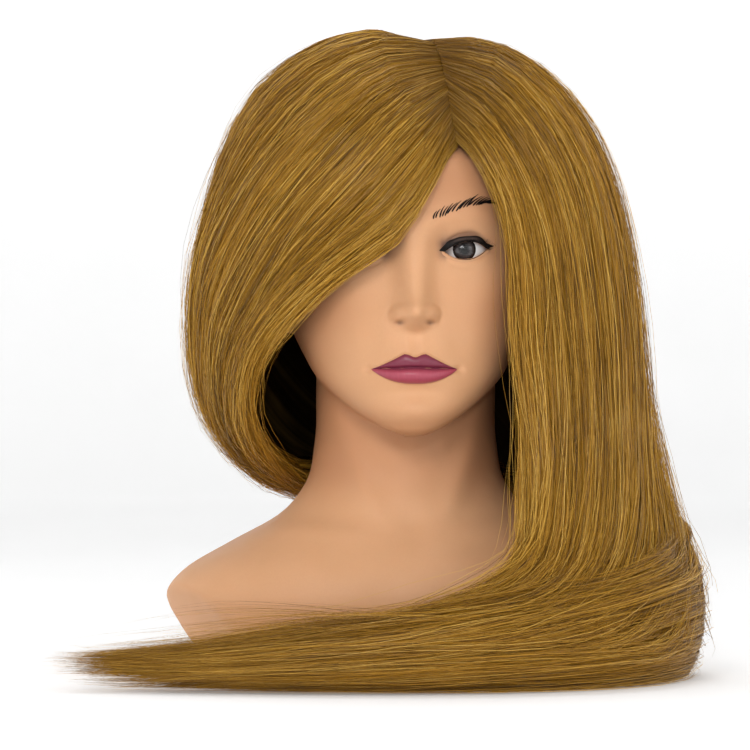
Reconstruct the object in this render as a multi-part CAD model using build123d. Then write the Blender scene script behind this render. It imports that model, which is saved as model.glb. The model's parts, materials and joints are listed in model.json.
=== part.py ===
"""Mannequin training head with shoulders and long rooted hair, built as separate pieces.

Row frame, millimetres: +Z up, the face looks towards -Y, +X is the mannequin's left-hand side.
The origin is the mouth of the stand socket, on the underside of the base plate.
Every "left" and "right" in a node's name is the mannequin's own.
"""
from build123d import *
import math
import os

# ---- driving dimensions ---------------------------------------------------------------------
CLEAR = 0.3                 # air between neighbouring soft pieces
SKIN_WALL = 4.0             # rotocast vinyl wall
PLATE_T = 8.0               # base plate thickness
PLATE_INSET = 1.0           # base plate edge, inside the bust's rim
RIM_T = 4.0                 # thickness of the bust's turned-in rim
RIM_W = 16.0                # width of that rim

SOCKET_BORE_R = 12.25       # takes the usual 24 mm clamp post
SOCKET_R = 16.0             # outside of the socket tube
SOCKET_DEPTH = 118.0        # bore depth
SOCKET_TOP = 124.0          # closed end of the tube
FLANGE_R = 32.0
FLANGE_T = 5.0
FLANGE_PCR = 24.0           # radius of the flange's screw circle

CORE_BOTTOM = 88.0          # the foam core reaches this far down the neck
CORE_FIT = 0.15             # core to tube

# Bust and neck, from the rim up: height, half width, front, back
BUST_SECTIONS = [
    (PLATE_T, 118, -70, 66),
    (30, 131, -78, 72),
    (48, 136, -80, 74),
    (62, 124, -76, 72),
    (76, 100, -68, 68),
    (92, 71, -56, 64),
    (108, 58, -49, 62),
    (132, 52, -46, 60),
    (165, 51, -46, 60),
]
# Jaw and cheeks, from the chin up
FACE_SECTIONS = [
    (139, 20, -82, -42),
    (148, 36, -88, -8),
    (166, 53, -90, 28),
    (192, 64, -89, 58),
    (226, 71, -87, 80),
    (262, 75, -86, 100),
]
SKULL_CENTRE = (0, 9, 263)
SKULL_AXES = (76, 96, 96)

# The scalp cap meets the face skin on a plane that falls from the forehead to the nape
HAIRLINE_FRONT = (-80.0, 300.0)     # y, z
HAIRLINE_NAPE = (92.0, 172.0)

EYE_X, EYE_Y, EYE_Z = 29.5, -64.0, 240.0
EYE_R = 12.5
IRIS_R = 6.4
LENS_RISE = 0.9
LID_WINDOW = (14.5, 7.2)    # half width and half height of the opening between the lids

# Hair: an outer bell over the head, an inner bell where the lengths hang free of the neck
BELL_X, BELL_Y, BELL_Z = 4, 10, 238
BELL_AXES = (128, 118, 127)
BELL_THICK = 30.0
BELL_BOTTOM = 150.0
PART_X = 22.0               # the parting
FRONT_Y = -28.0             # side sections meet the front ones here
BACK_Y = 50.0               # and the back ones here
# Opening in the front of the bell, as x and z: fringe edge, jaw side, curtain edge
FACE_WINDOW = [
    (28, 303), (22, 282), (4, 256), (-36, 226), (-66, 196), (-84, 171), (-86, 140),
    (64, 140), (61, 171), (57, 230), (53, 264), (39, 286),
]
EYE_ROOM = 23.0             # hair stays this far from an eye's centre
BIG = 400.0


# ---- helpers --------------------------------------------------------------------------------
def ellipsoid(centre, axes, grow=0.0):
    """A ball stretched to three half axes, each changed by grow."""
    return Pos(*centre) * scale(Sphere(1), by=tuple(a + grow for a in axes))


def stack(sections, inset=0.0):
    """A loft through level ellipses, each (height, half width, front, back), drawn in by inset."""
    rings = []
    for z, half, front, back in sections:
        ring = Ellipse(half - inset, (back - front) / 2 - inset)
        rings.append(Pos(0, (front + back) / 2, z) * ring)
    return loft(rings)


def block(x0, x1, y0, y1, z0=-BIG, z1=BIG):
    """A box from its lowest and highest corners."""
    centre = Pos((x0 + x1) / 2, (y0 + y1) / 2, (z0 + z1) / 2)
    return centre * Box(x1 - x0, y1 - y0, z1 - z0)


def hank(stations):
    """A loft along a lock of hair. Each station is (centre, heading, across, half across, half deep)."""
    rings = []
    for centre, heading, across, half_across, half_deep in stations:
        along = Vector(*heading).normalized()
        side = Vector(*across)
        side -= along * side.dot(along)
        plane = Plane(origin=centre, x_dir=side, z_dir=along)
        rings.append(plane * Ellipse(half_across, half_deep))
    return loft(rings)


def flat_heading(degrees):
    """A level direction, 0 along +X and 90 along +Y."""
    return (math.cos(math.radians(degrees)), math.sin(math.radians(degrees)), 0)


def countersunk(length, shank_r, head_r):
    """A countersunk screw, point up, with its head's face at z = 0."""
    head = Cone(head_r, shank_r, head_r - shank_r, align=(Align.CENTER, Align.CENTER, Align.MIN))
    shank = Cylinder(shank_r, length, align=(Align.CENTER, Align.CENTER, Align.MIN))
    slot = Box(head_r * 1.3, 0.9, 1.6)
    return head + shank - slot - Rot(0, 0, 90) * slot


def pan_head(length, shank_r, head_r, head_h):
    """A pan-head screw, point down, with the underside of its head at z = 0."""
    head = Cylinder(head_r, head_h, align=(Align.CENTER, Align.CENTER, Align.MIN))
    head = fillet(head.edges().group_by(Axis.Z)[-1], head_h * 0.4)
    shank = Cylinder(shank_r, length, align=(Align.CENTER, Align.CENTER, Align.MAX))
    slot = Pos(0, 0, head_h) * Box(head_r * 1.2, 0.9, 1.6)
    return head + shank - slot - Rot(0, 0, 90) * slot


# ---- vinyl skin and scalp -------------------------------------------------------------------
def head_form(inset=0.0):
    """Cranium, jaw, neck and shoulders as one solid, drawn in by inset."""
    form = stack(BUST_SECTIONS, inset)
    form += stack(FACE_SECTIONS, inset)
    form += ellipsoid(SKULL_CENTRE, SKULL_AXES, -inset)
    return form


def face_features():
    """Nose, lips and ears, which stand out of the face."""
    nose = loft([
        Pos(0, -86, 197.5) * Ellipse(11, 14),
        Pos(0, -88, 204) * Ellipse(14, 18),
        Pos(0, -86, 216) * Ellipse(8.5, 14),
        Pos(0, -84, 234) * Ellipse(6, 8),
        Pos(0, -82, 250) * Ellipse(5, 4),
    ])
    lips = ellipsoid((0, -87, 175), (24, 8, 9))
    ears = [ellipsoid((side * 76, 10, 224), (7, 15, 30)) for side in (-1, 1)]
    return nose + lips + ears[0] + ears[1]


def above_hairline():
    """Everything behind and above the plane on which scalp cap and face skin meet."""
    (y0, z0), (y1, z1) = HAIRLINE_FRONT, HAIRLINE_NAPE
    slope = math.degrees(math.atan2(z1 - z0, y1 - y0))
    middle = (0, (y0 + y1) / 2, (z0 + z1) / 2)
    return Pos(*middle) * Rot(slope, 0, 0) * Pos(0, 0, BIG / 2) * Box(BIG, BIG, BIG)


def eye_places():
    return {"right": (-EYE_X, EYE_Y, EYE_Z), "left": (EYE_X, EYE_Y, EYE_Z)}


def eye_pockets():
    """Round seats for the eyes, each with its window between the lids."""
    window = Rot(90, 0, 0) * extrude(Ellipse(*LID_WINDOW), 2 * EYE_R)
    return [Pos(*place) * (Sphere(EYE_R + 0.1) + window) for place in eye_places().values()]


def screw_ring(count, half_x, half_y, turn=0.0):
    """Places on an ellipse, as Pos."""
    angles = [math.radians(turn + 360 * i / count) for i in range(count)]
    return [Pos(half_x * math.cos(a), half_y * math.sin(a), 0) for a in angles]


solid_form = head_form()
outer_form = solid_form + face_features()
inner_form = head_form(SKIN_WALL)
scalp_side = above_hairline()

rim_z, rim_x, rim_front, rim_back = BUST_SECTIONS[0]
rim_y = (rim_front + rim_back) / 2
rim_half_y = (rim_back - rim_front) / 2

shell = outer_form - inner_form
scalp_cap = shell & scalp_side
bust_skin = shell - scalp_side
for pocket in eye_pockets():
    bust_skin -= pocket
rim = Pos(0, rim_y, PLATE_T) * extrude(
    Ellipse(rim_x - 1.5, rim_half_y - 1.5) - Ellipse(rim_x - RIM_W, rim_half_y - RIM_W), RIM_T)
bust_skin += rim

# ---- base plate, stand socket and their screws ----------------------------------------------
BASE_SCREWS = 6
BASE_SHANK_R, BASE_HEAD_R, BASE_SCREW_L = 2.0, 4.0, PLATE_T + RIM_T - 1.0
base_places = [Pos(0, rim_y, 0) * p for p in screw_ring(BASE_SCREWS, rim_x - 10, rim_half_y - 10, 30)]
base_screw = countersunk(BASE_SCREW_L, BASE_SHANK_R, BASE_HEAD_R)
base_screws = Compound(children=[p * base_screw for p in base_places])

FLANGE_SCREWS = 4
FLANGE_SHANK_R, FLANGE_HEAD_R, FLANGE_HEAD_H = 1.8, 3.6, 2.4
flange_places = screw_ring(FLANGE_SCREWS, FLANGE_PCR, FLANGE_PCR, 45)
flange_lift = Pos(0, 0, PLATE_T + FLANGE_T)
flange_screw = pan_head(PLATE_T + FLANGE_T - 2.0, FLANGE_SHANK_R, FLANGE_HEAD_R, FLANGE_HEAD_H)
socket_screws = Compound(children=[flange_lift * p * flange_screw for p in flange_places])

plate_outline = Ellipse(rim_x - PLATE_INSET, rim_half_y - PLATE_INSET)
base_plate = Pos(0, rim_y, 0) * extrude(plate_outline, PLATE_T)
base_plate = chamfer(base_plate.edges().group_by(Axis.Z)[0], 1.0)
base_plate -= Pos(0, 0, PLATE_T / 2) * Cylinder(SOCKET_R, PLATE_T * 2)

socket_parts = [
    Cylinder(SOCKET_R, SOCKET_TOP, align=(Align.CENTER, Align.CENTER, Align.MIN)),
    Pos(0, 0, PLATE_T) * Cylinder(FLANGE_R, FLANGE_T, align=(Align.CENTER, Align.CENTER, Align.MIN)),
]
stand_socket = socket_parts[0] + socket_parts[1]
stand_socket = chamfer(stand_socket.edges().group_by(Axis.Z)[-1], 2.0)
stand_socket -= Cylinder(SOCKET_BORE_R, SOCKET_DEPTH, align=(Align.CENTER, Align.CENTER, Align.MIN))
GUSSETS, GUSSET_H, GUSSET_T = 4, 22.0, 3.0
for i in range(GUSSETS):
    outline = Polyline((SOCKET_R - 1, 0), (FLANGE_R - 3, 0), (SOCKET_R - 1, GUSSET_H), close=True)
    gusset = extrude(make_face(outline), GUSSET_T / 2, both=True)
    stand_socket += Pos(0, 0, PLATE_T + FLANGE_T) * Rot(0, 0, 360 * i / GUSSETS) * Rot(90, 0, 0) * gusset

for place in base_places:
    hole = place * Cylinder(BASE_SHANK_R, 2 * BASE_SCREW_L)
    sink = place * Cone(BASE_HEAD_R, BASE_SHANK_R, BASE_HEAD_R - BASE_SHANK_R,
                        align=(Align.CENTER, Align.CENTER, Align.MIN))
    base_plate = base_plate - hole - sink
    bust_skin = bust_skin - hole
for place in flange_places:
    hole = place * Cylinder(FLANGE_SHANK_R, PLATE_T + FLANGE_T - 2.0,
                            align=(Align.CENTER, Align.CENTER, Align.MIN))
    hole = Pos(0, 0, 2.0) * hole
    base_plate -= hole
    stand_socket -= hole

# ---- foam core ------------------------------------------------------------------------------
foam_core = inner_form & block(-BIG, BIG, -BIG, BIG, CORE_BOTTOM, BIG)
foam_core -= Cylinder(SOCKET_R + CORE_FIT, 2 * (SOCKET_TOP + 1.0))
for place in eye_places().values():
    foam_core -= Pos(*place) * Pos(0, 1.0, 0) * Rot(90, 0, 0) * Cylinder(
        EYE_R + 0.4, 2 * EYE_R, align=(Align.CENTER, Align.CENTER, Align.MIN))


# ---- eyes -----------------------------------------------------------------------------------
def eye_white():
    """Front half of a hollow ball with a flat recess for the iris disc."""
    ball = Sphere(EYE_R) - Sphere(EYE_R - 2.4)
    ball -= block(-BIG, BIG, 0.5, BIG)
    recess = Rot(90, 0, 0) * Cylinder(IRIS_R, BIG, align=(Align.CENTER, Align.CENTER, Align.MIN))
    recess &= block(-BIG, BIG, -BIG, -(EYE_R - 2.4 + 0.6))
    backing = Pos(0, -(EYE_R - 3.2), 0) * Rot(90, 0, 0) * Cylinder(
        IRIS_R + 1.2, 1.4, align=(Align.CENTER, Align.CENTER, Align.MIN))
    return ball + (backing & Sphere(EYE_R - 0.2)) - recess


IRIS_BACK = EYE_R - 2.4 + 0.6
IRIS_T = 0.5


def iris():
    """Printed disc in the recess."""
    return Pos(0, -IRIS_BACK, 0) * Rot(90, 0, 0) * Cylinder(
        IRIS_R - 0.05, IRIS_T, align=(Align.CENTER, Align.CENTER, Align.MIN))


def cornea():
    """Clear dome over the iris disc."""
    dome = Pos(0, LENS_RISE, 0) * Sphere(EYE_R + LENS_RISE * 0.2)
    dome = Pos(0, -LENS_RISE * 1.6, 0) * dome
    plug = Rot(90, 0, 0) * Cylinder(IRIS_R - 0.05, BIG, align=(Align.CENTER, Align.CENTER, Align.MIN))
    return dome & plug & block(-BIG, BIG, -BIG, -(IRIS_BACK + IRIS_T))


def lash_strip():
    """A band along the upper lid: a ring's upper part, standing out of the lid."""
    band = Cylinder(14.2, 4.0) - Cylinder(13.0, 6.0)
    band = Rot(90, 0, 0) * band
    band &= block(-BIG, BIG, -BIG, BIG, 4.0, BIG)
    return Pos(0, -15.5, -6.0) * band


# ---- hair -----------------------------------------------------------------------------------
def bell(inset):
    """The hair's outer form above BELL_BOTTOM, drawn in by inset."""
    ax, ay, az = (a - inset for a in BELL_AXES)
    dome = ellipsoid((BELL_X, BELL_Y, BELL_Z), (ax, ay, az))
    skirt = loft([
        Pos(BELL_X, BELL_Y, BELL_Z) * Ellipse(ax, ay),
        Pos(BELL_X, BELL_Y, 195) * Ellipse(ax + 1, ay),
        Pos(BELL_X, BELL_Y, BELL_BOTTOM) * Ellipse(ax, ay - 8),
    ])
    top = dome & block(-BIG, BIG, -BIG, BIG, BELL_Z, BIG)
    return top + skirt


face_window = Pos(0, -30, 0) * Rot(90, 0, 0) * extrude(
    make_face(Polyline(*FACE_WINDOW, close=True)), 120)
head_clear = head_form(-0.4) + face_features()
hair_bell = bell(0) - bell(BELL_THICK) - head_clear - face_window
for place in eye_places().values():
    hair_bell -= Pos(*place) * Sphere(EYE_ROOM)

g = CLEAR / 2
hair_sections = {
    "hair_fringe": block(-BIG, PART_X - g, -BIG, FRONT_Y - g),
    "hair_face_curtain": block(PART_X + g, BIG, -BIG, FRONT_Y - g),
    "hair_right_side": block(-BIG, PART_X - g, FRONT_Y + g, BACK_Y - g),
    "hair_left_side": block(PART_X + g, BIG, FRONT_Y + g, BACK_Y - g),
    "hair_back_right": block(-BIG, PART_X - g, BACK_Y + g, BIG),
    "hair_back_left": block(PART_X + g, BIG, BACK_Y + g, BIG),
}

DOWN = (0, 0, -1)
UP = (0, 0, 1)
right_curl = hank([
    ((-106, 0, 148.5), DOWN, (1, 0, 0), 16, 36),
    ((-97, 10, 131), (0.5, 0.35, -0.8), (0.8, 0, 0.5), 14, 26),
    ((-78, 38, 119), (0.72, 0.62, -0.3), (-0.65, 0.76, 0), 13, 15),
    ((-54, 70, 114), (0.82, 0.56, -0.1), (-0.56, 0.82, 0), 11, 12),
])
nape_wrap = hank([
    ((-52, 73, 114), flat_heading(33), flat_heading(123), 11, 12),
    ((-12, 86, 110), flat_heading(10), flat_heading(100), 11, 14),
    ((32, 88, 106), flat_heading(-5), flat_heading(85), 11, 15),
    ((74, 80, 101), flat_heading(-18), flat_heading(72), 12, 15),
    ((104, 66, 95), flat_heading(-35), flat_heading(55), 12, 14),
])
back_fall = hank([
    ((30, 113, 145), DOWN, (1, 0, 0), 66, 12),
    ((50, 114, 116), (0.4, -0.02, -0.9), (0.9, 0, 0.4), 54, 11),
    ((84, 104, 82), (0.6, -0.25, -0.75), (0.75, 0, 0.6), 40, 11),
    ((112, 86, 56), (0.75, -0.45, -0.5), (0.5, -0.1, 0.86), 32, 11),
])
shoulder_hank = hank([
    ((122, 72, 46), flat_heading(-40), UP, 36, 12),
    ((150, 38, 43), flat_heading(-62), UP, 38, 12),
    ((158, 0, 41), flat_heading(-88), UP, 38, 12),
    ((148, -50, 38), flat_heading(-115), UP, 35, 13),
    ((118, -88, 33), flat_heading(-140), UP, 31, 15),
    ((84, -108, 28), flat_heading(-160), UP, 27, 18),
])
front_hank = hank([
    ((80, -110, 27), flat_heading(-162), UP, 26, 19),
    ((22, -121, 22.5), flat_heading(-176), UP, 21.5, 24),
    ((-50, -121, 18), flat_heading(178), UP, 17, 26),
    ((-112, -115, 14), flat_heading(172), UP, 12.5, 26),
])
hair_tips = hank([
    ((-114, -115, 14), flat_heading(172), UP, 12, 26),
    ((-165, -108, 11), flat_heading(173), UP, 8, 22),
    ((-212, -103, 9), flat_heading(175), UP, 3, 14),
])
diagonal = (0.65, 0.76, 0)
left_drape = hank([
    ((101, -56, 148.5), DOWN, diagonal, 50, 13),
    ((98, -68, 118), (0, -0.3, -0.95), diagonal, 46, 13),
    ((92, -84, 90), (0, -0.3, -0.95), diagonal, 38, 12),
    ((86, -96, 68), (0, -0.3, -0.95), diagonal, 30, 10),
])

# ---- write every node -----------------------------------------------------------------------
nodes = {
    "bust_skin": bust_skin,
    "scalp_cap": scalp_cap,
    "foam_core": foam_core,
    "base_plate": base_plate,
    "stand_socket": stand_socket,
    "base_screws": base_screws,
    "socket_screws": socket_screws,
    "hair_right_curl": right_curl,
    "hair_nape_wrap": nape_wrap,
    "hair_back_fall": back_fall,
    "hair_shoulder_hank": shoulder_hank,
    "hair_front_hank": front_hank,
    "hair_tips": hair_tips,
    "hair_left_drape": left_drape,
}
for side, place in eye_places().items():
    nodes[f"{side}_eye_white"] = Pos(*place) * eye_white()
    nodes[f"{side}_eye_iris"] = Pos(*place) * iris()
    nodes[f"{side}_eye_cornea"] = Pos(*place) * cornea()
    nodes[f"{side}_lash_strip"] = Pos(*place) * lash_strip() - solid_form
for name, region in hair_sections.items():
    nodes[name] = hair_bell & region

os.makedirs("parts", exist_ok=True)
for name, shape in nodes.items():
    export_step(shape, f"parts/{name}.step")
    print(name, round(shape.volume), len(shape.solids()))
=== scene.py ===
"""Looks of the mannequin training head: vinyl skin, painted face, eyes, and hair strand by strand.

The object is worked out in millimetres in the row frame (+Z up, face towards -Y, +X the mannequin's
left) and turned into metres when a mesh is made. The studio is in metres.
"""
import json
import math

import bpy
import numpy as np
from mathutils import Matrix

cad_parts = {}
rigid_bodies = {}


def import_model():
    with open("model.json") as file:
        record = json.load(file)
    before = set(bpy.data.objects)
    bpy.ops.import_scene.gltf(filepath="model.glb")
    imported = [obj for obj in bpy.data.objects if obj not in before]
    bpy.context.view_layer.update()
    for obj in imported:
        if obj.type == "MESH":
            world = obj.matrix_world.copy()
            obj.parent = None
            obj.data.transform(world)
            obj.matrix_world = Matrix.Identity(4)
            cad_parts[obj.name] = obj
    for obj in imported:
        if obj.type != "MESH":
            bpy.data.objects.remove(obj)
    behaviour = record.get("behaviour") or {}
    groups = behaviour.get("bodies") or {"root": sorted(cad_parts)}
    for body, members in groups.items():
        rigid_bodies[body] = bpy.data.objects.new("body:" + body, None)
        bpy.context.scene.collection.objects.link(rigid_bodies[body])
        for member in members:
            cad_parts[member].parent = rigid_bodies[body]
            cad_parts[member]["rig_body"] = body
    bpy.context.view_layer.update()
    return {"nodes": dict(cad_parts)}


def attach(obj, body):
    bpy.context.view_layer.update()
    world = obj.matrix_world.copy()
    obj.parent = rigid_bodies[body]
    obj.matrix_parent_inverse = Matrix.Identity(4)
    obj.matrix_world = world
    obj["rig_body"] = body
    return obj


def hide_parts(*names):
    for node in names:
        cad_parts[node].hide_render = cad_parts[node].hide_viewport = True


MM = 0.001

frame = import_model()
nodes = frame["nodes"]


# ---- curves and numbers ---------------------------------------------------------------------
def srgb(red, green, blue):
    """A colour given as it looks on a screen, 0 to 255, as linear light with alpha."""
    linear = []
    for channel in (red, green, blue):
        c = channel / 255
        linear.append(c / 12.92 if c <= 0.04045 else ((c + 0.055) / 1.055) ** 2.4)
    return (*linear, 1.0)


def ramp(x, low, high):
    """0 below low, 1 above high, smooth between."""
    t = np.clip((x - low) / (high - low), 0, 1)
    return t * t * (3 - 2 * t)


def bump(x, z, x0, z0, sx, sz):
    """A soft round hill."""
    return np.exp(-(((x - x0) / sx) ** 2 + ((z - z0) / sz) ** 2))


def through(knots, values, at):
    """A smooth curve through values at knots, read at the places in at."""
    knots, values, at = (np.asarray(a, float) for a in (knots, values, at))
    column = (-1,) + (1,) * (values.ndim - 1)
    step = np.diff(knots)
    gap = step.reshape(column)
    slope = np.diff(values, axis=0) / gap
    lean = np.empty_like(values)
    lean[0], lean[-1] = slope[0], slope[-1]
    lean[1:-1] = (slope[:-1] * gap[1:] + slope[1:] * gap[:-1]) / (gap[1:] + gap[:-1])
    i = np.clip(np.searchsorted(knots, at, side="right") - 1, 0, len(knots) - 2)
    s = np.clip((at - knots[i]) / step[i], 0, 1).reshape(column)
    h = step[i].reshape(column)
    ease = s * s * (3 - 2 * s)
    return (values[i] + ease * (values[i + 1] - values[i])
            + (s ** 3 - 2 * s ** 2 + s) * h * lean[i] + (s ** 3 - s ** 2) * h * lean[i + 1])


def evenly(points, count):
    """count points, evenly spaced, on a smooth curve through points."""
    points = np.asarray(points, float)
    chords = np.linalg.norm(np.diff(points, axis=0), axis=1) ** 0.7
    knots = np.concatenate([[0], np.cumsum(chords)])
    fine = through(knots, points, np.linspace(0, knots[-1], 30 * len(points)))
    run = np.concatenate([[0], np.cumsum(np.linalg.norm(np.diff(fine, axis=0), axis=1))])
    at = np.linspace(0, run[-1], count)
    return np.stack([np.interp(at, run, fine[:, k]) for k in range(3)], axis=1)


def unit(v):
    return v / np.maximum(np.linalg.norm(v, axis=-1, keepdims=True), 1e-9)


def outward_ways(turns, lifts):
    """Directions turned about Z from the front and lifted from level, both in radians."""
    return np.stack([np.sin(turns) * np.cos(lifts), -np.cos(turns) * np.cos(lifts),
                     np.sin(lifts) + 0 * turns], -1)


def side_word(side):
    return "left" if side > 0 else "right"


# ---- meshes ---------------------------------------------------------------------------------
def mesh_piece(name, points, faces, material, uv=None, smooth=True):
    """A piece from points in mm and faces of one size, on the object's one body."""
    points = np.asarray(points, float).reshape(-1, 3)
    faces = np.asarray(faces, np.int32)
    sides = faces.shape[1]
    mesh = bpy.data.meshes.new(name)
    mesh.vertices.add(len(points))
    mesh.vertices.foreach_set("co", (points * MM).astype(np.float32).ravel())
    mesh.loops.add(faces.size)
    mesh.loops.foreach_set("vertex_index", faces.ravel())
    mesh.polygons.add(len(faces))
    mesh.polygons.foreach_set("loop_start", np.arange(0, faces.size, sides, dtype=np.int32))
    mesh.polygons.foreach_set("loop_total", np.full(len(faces), sides, np.int32))
    mesh.polygons.foreach_set("use_smooth", np.full(len(faces), smooth))
    mesh.update(calc_edges=True)
    if uv is not None:
        layer = mesh.uv_layers.new(name="OFBake")
        layer.data.foreach_set("uv", np.asarray(uv, np.float32).ravel())
    mesh.materials.append(material)
    piece = bpy.data.objects.new(name, mesh)
    bpy.context.scene.collection.objects.link(piece)
    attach(piece, "root")
    return piece


def paint(piece, name, values):
    """A number for each point of a piece, which its material reads."""
    layer = piece.data.attributes.new(name, "FLOAT", "POINT")
    layer.data.foreach_set("value", np.asarray(values).astype(np.float32).ravel())


def repeated(faces, count, points_each):
    """The same faces on count copies of a shape that has points_each points."""
    return (faces[None] + (np.arange(count) * points_each)[:, None, None]).reshape(-1, 4)


def grid_faces(rows, columns, closed=False):
    """Quads of a grid of points, row by row. closed joins the last column to the first."""
    r = np.arange(rows - 1)[:, None]
    c = np.arange(columns if closed else columns - 1)[None, :]
    d = (c + 1) % columns
    quads = np.stack([r * columns + c, r * columns + d, (r + 1) * columns + d, (r + 1) * columns + c], -1)
    return quads.reshape(-1, 4)


def grid_uv(rows, columns, closed=False):
    """Texture places of grid_faces' corners: across the columns and up the rows."""
    r = np.arange(rows - 1)[:, None]
    c = np.arange(columns if closed else columns - 1)[None, :]
    wide, high = (columns if closed else columns - 1), rows - 1
    corners = [(c, r), (c + 1, r), (c + 1, r + 1), (c, r + 1)]
    spots = [np.stack(np.broadcast_arrays(a / wide, b / high), -1) for a, b in corners]
    return np.stack(spots, 2).reshape(-1, 2)


# ---- materials ------------------------------------------------------------------------------
class Shader:
    """A Principled material and a short way to add nodes to it."""

    def __init__(self, name, **sockets):
        self.material = bpy.data.materials.new(name)
        self.material.use_nodes = True
        self.tree = self.material.node_tree
        self.surface = self.tree.nodes["Principled BSDF"]
        for socket, value in sockets.items():
            self.surface.inputs[socket.replace("_", " ")].default_value = value

    def node(self, kind, **settings):
        node = self.tree.nodes.new("ShaderNode" + kind)
        for key, value in settings.items():
            setattr(node, key, value)
        return node

    def link(self, source, target):
        self.tree.links.new(source, target)

    def put(self, socket, value):
        """Sets an input, or links it if value is an output."""
        if isinstance(value, bpy.types.NodeSocket):
            self.link(value, socket)
        else:
            socket.default_value = value

    def noise(self, scale, detail=4.0, roughness=0.5, vector=None, distortion=0.0):
        node = self.node("TexNoise")
        node.inputs["Scale"].default_value = scale
        node.inputs["Detail"].default_value = detail
        node.inputs["Roughness"].default_value = roughness
        node.inputs["Distortion"].default_value = distortion
        self.link(vector if vector is not None else self.places(), node.inputs["Vector"])
        return node.outputs["Fac"]

    def places(self):
        """Points on the object in metres."""
        return self.node("TexCoord").outputs["Object"]

    def math(self, operation, a, b=0.0):
        node = self.node("Math", operation=operation)
        self.put(node.inputs[0], a)
        self.put(node.inputs[1], b)
        return node.outputs["Value"]

    def stretched(self, vector, scale):
        node = self.node("Mapping")
        self.link(vector, node.inputs["Vector"])
        node.inputs["Scale"].default_value = scale
        return node.outputs["Vector"]

    def between(self, value, low, high, to_low, to_high):
        node = self.node("MapRange")
        self.link(value, node.inputs["Value"])
        limits = {"From Min": low, "From Max": high, "To Min": to_low, "To Max": to_high}
        for socket, number in limits.items():
            node.inputs[socket].default_value = number
        return node.outputs["Result"]

    def colours(self, value, stops):
        node = self.node("ValToRGB")
        self.link(value, node.inputs["Fac"])
        steps = node.color_ramp.elements
        while len(steps) < len(stops):
            steps.new(1.0)
        for step, (place, colour) in zip(steps, stops):
            step.position = place
            step.color = colour
        return node.outputs["Color"]

    def mix(self, amount, first, second, blend="MIX"):
        node = self.node("Mix", data_type="RGBA", blend_type=blend)
        self.put(node.inputs["Factor"], amount)
        self.put(node.inputs[6], first)
        self.put(node.inputs[7], second)
        return node.outputs[2]

    def relief(self, height, strength, distance):
        node = self.node("Bump")
        node.inputs["Strength"].default_value = strength
        node.inputs["Distance"].default_value = distance
        self.link(height, node.inputs["Height"])
        self.link(node.outputs["Normal"], self.surface.inputs["Normal"])

    def attribute(self, name):
        return self.node("Attribute", attribute_name=name).outputs["Fac"]

    def finish(self, **sources):
        for socket, value in sources.items():
            self.link(value, self.surface.inputs[socket.replace("_", " ")])
        return self.material


def skin_material():
    """Soft satin vinyl. It is warmed by sprayed blush on the cheeks and darkened by painted shade at the
    hairline, the face's sides and the neck; "shadow" is smoky eye paint and painted shade in the nostrils.
    """
    s = Shader("vinyl_skin", Specular_IOR_Level=0.24, Subsurface_Weight=0.12, Subsurface_Scale=0.004)
    s.surface.inputs["Subsurface Radius"].default_value = (1.0, 0.45, 0.25)
    tone = s.colours(s.noise(22.0, 3.0), [(0.3, srgb(207, 156, 114)), (0.7, srgb(213, 162, 121))])
    speck = s.noise(900.0, 2.0)
    tone = s.mix(s.between(speck, 0.35, 0.75, 0.0, 0.10), tone, srgb(190, 134, 102))
    # sprayed blush on the cheeks, and painted shade along the hairline, at the sides of the face and on
    # the neck
    tone = s.mix(s.attribute("blush_and_shade"), tone, srgb(176, 118, 80))
    tone = s.mix(s.attribute("shadow"), tone, srgb(92, 66, 58))
    s.relief(s.noise(1400.0, 3.0), 0.10, 0.0002)
    return s.finish(Base_Color=tone, Roughness=s.between(s.noise(60.0, 3.0), 0.3, 0.7, 0.46, 0.56))


def scalp_material():
    """The cap between the roots: skin darkened by rows of punched root holes."""
    s = Shader("rooted_scalp", Specular_IOR_Level=0.35)
    dots = s.node("TexVoronoi")
    dots.inputs["Scale"].default_value = 650.0
    s.link(s.places(), dots.inputs["Vector"])
    holes = s.between(dots.outputs["Distance"], 0.15, 0.5, 1.0, 0.0)
    tone = s.mix(s.math("MULTIPLY", holes, 0.8), srgb(150, 108, 62), srgb(84, 56, 20))
    s.relief(dots.outputs["Distance"], 0.3, 0.0004)
    return s.finish(Base_Color=tone, Roughness=s.between(s.noise(80.0), 0.3, 0.7, 0.5, 0.62))


def lip_material():
    """Satin lip paint with fine upright lines, and painted shade where the lips meet and over the upper
    lip.
    """
    s = Shader("lip_paint", Coat_Weight=0.10, Coat_Roughness=0.3, Specular_IOR_Level=0.34)
    lines = s.noise(1.0, 3.0, vector=s.stretched(s.places(), (1500.0, 200.0, 260.0)))
    tone = s.colours(lines, [(0.3, srgb(160, 66, 82)), (0.7, srgb(168, 72, 89))])
    # painted shade where the lips meet and over the upper lip
    tone = s.mix(s.attribute("shadow"), tone, srgb(104, 34, 56))
    s.relief(lines, 0.05, 0.0002)
    return s.finish(Base_Color=tone, Roughness=s.between(lines, 0.3, 0.7, 0.30, 0.40))


def ink_material():
    """Painted liner and brows, and the lash fibre."""
    s = Shader("black_makeup", Specular_IOR_Level=0.12)
    tone = s.colours(s.noise(500.0), [(0.35, srgb(14, 11, 10)), (0.7, srgb(24, 20, 18))])
    # paler where a liner band has its painted sheen: a painted highlight along the band's middle
    tone = s.mix(s.attribute("shadow"), tone, srgb(74, 60, 54))
    return s.finish(Base_Color=tone, Roughness=s.between(s.noise(300.0), 0.3, 0.7, 0.42, 0.6))


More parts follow.
